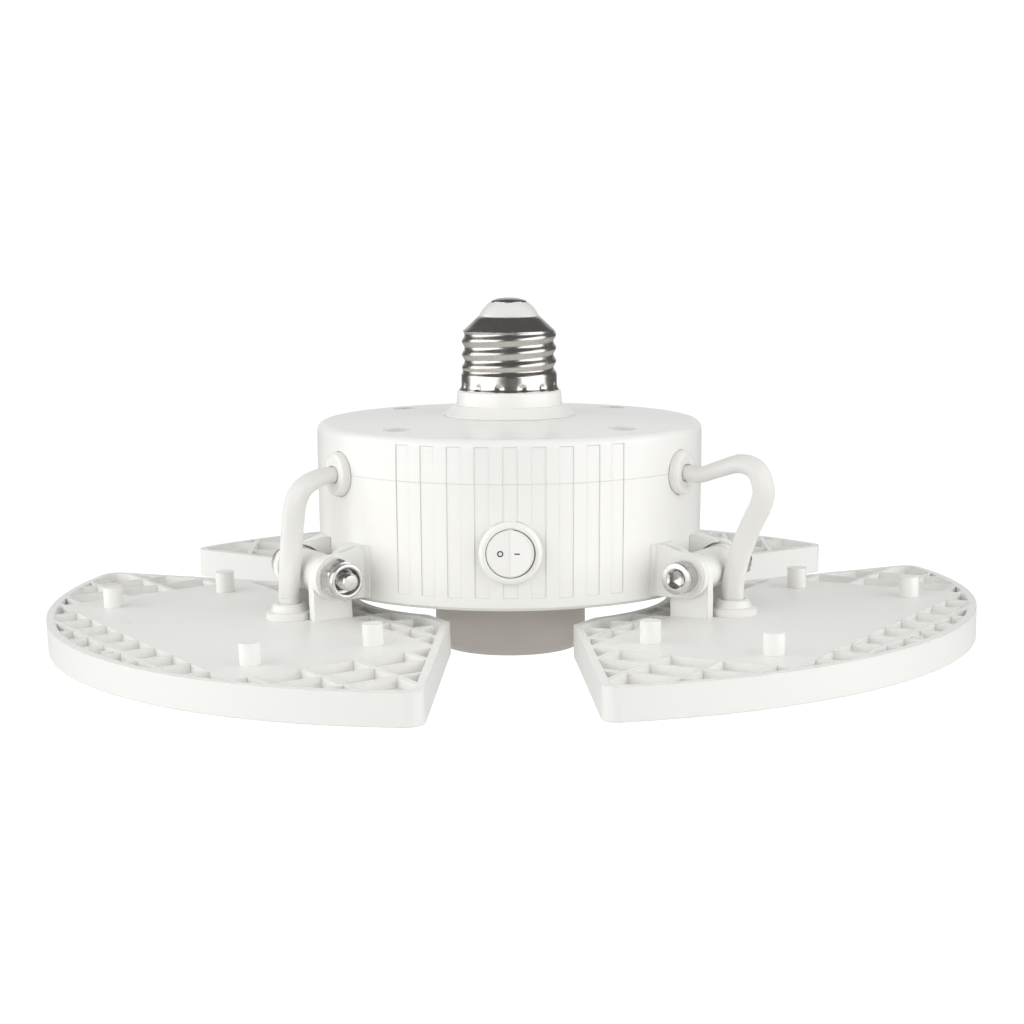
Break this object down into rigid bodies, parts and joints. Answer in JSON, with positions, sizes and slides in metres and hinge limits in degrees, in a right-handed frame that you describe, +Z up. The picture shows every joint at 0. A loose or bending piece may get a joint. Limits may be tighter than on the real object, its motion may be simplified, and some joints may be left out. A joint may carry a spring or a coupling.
{
  "type": "deformable led garage light",
  "caption": "Screw-in ceiling light: a fluted white drum with a rocker switch, a centre cup light and fan-shaped LED panels that tilt on bolted hinges.",
  "frame": {"origin": "on the lamp's axis in the plane of the screw shell's lower rim, where the lamp seats in its socket", "axes": "+Z up along the lamp's axis toward the centre contact, -Y out of the rocker switch, which faces the viewer of the picture"},
  "size_m": [0.2573, 0.2556, 0.0972],
  "materials": {
    "white": "white moulded plastic with a soft gloss",
    "base_white": "white moulded insulator",
    "rocker_white": "white moulded rocker",
    "gland_white": "white flexible plastic",
    "lead": "white PVC sheath",
    "nickel": "nickel-plated shell",
    "steel": "zinc-plated steel",
    "diffuser": "opal sheet",
    "cup": "frosted grey opal",
    "board": "white-coated aluminium board",
    "led": "phosphor-coated LED package",
    "pcb": "green laminate",
    "winding": "taped winding on a ferrite core",
    "black": "black plastic"
  },
  "bodies": {
    "drum": {"contact": "nickel", "insulator": "base_white", "screw_shell": "nickel", "collar": "white", "upper_shell": "white", "lower_shell": "white", "case_screws": "steel", "driver_board": "pcb", "transformer": "winding", "capacitors": "black", "board_screws": "steel", "switch_bezel": "white", "switch_body": "black", "centre_base": "white", "centre_board": "board", "centre_leds": "led", "centre_cup": "cup", "glands": "gland_white", "hinge_bolts": "steel", "hinge_nuts": "steel", "lead_left": "lead", "lead_right": "lead", "lead_rear": "lead"},
    "rocker": {"switch_rocker": "rocker_white"},
    "panel_left": {"housing_left": "white", "board_left": "board", "leds_left": "led", "diffuser_left": "diffuser", "grommet_left": "gland_white"},
    "panel_right": {"housing_right": "white", "board_right": "board", "leds_right": "led", "diffuser_right": "diffuser", "grommet_right": "gland_white"},
    "panel_rear": {"housing_rear": "white", "board_rear": "board", "leds_rear": "led", "diffuser_rear": "diffuser", "grommet_rear": "gland_white"}
  },
  "joints": [
    {"name": "hinge_left", "type": "hinge", "parent": "drum", "child": "panel_left", "pos_m": [-0.05248, -0.0303, -0.046], "axis": [-0.5, 0.866, 0], "range_deg": [-7.5, 92], "deforming": ["lead_left"]},
    {"name": "hinge_right", "type": "hinge", "parent": "drum", "child": "panel_right", "pos_m": [0.05248, -0.0303, -0.046], "axis": [-0.5, -0.866, 0], "range_deg": [-10, 89.5], "deforming": ["lead_right"]},
    {"name": "hinge_rear", "type": "hinge", "parent": "drum", "child": "panel_rear", "pos_m": [0, 0.0606, -0.046], "axis": [1, 0, 0], "range_deg": [-11, 88.5], "deforming": ["lead_rear"]},
    {"name": "switch_rock", "type": "hinge", "parent": "drum", "child": "rocker", "pos_m": [0, -0.0539, -0.0377], "axis": [0, 0, 1], "range_deg": [0, 14]}
  ]
}
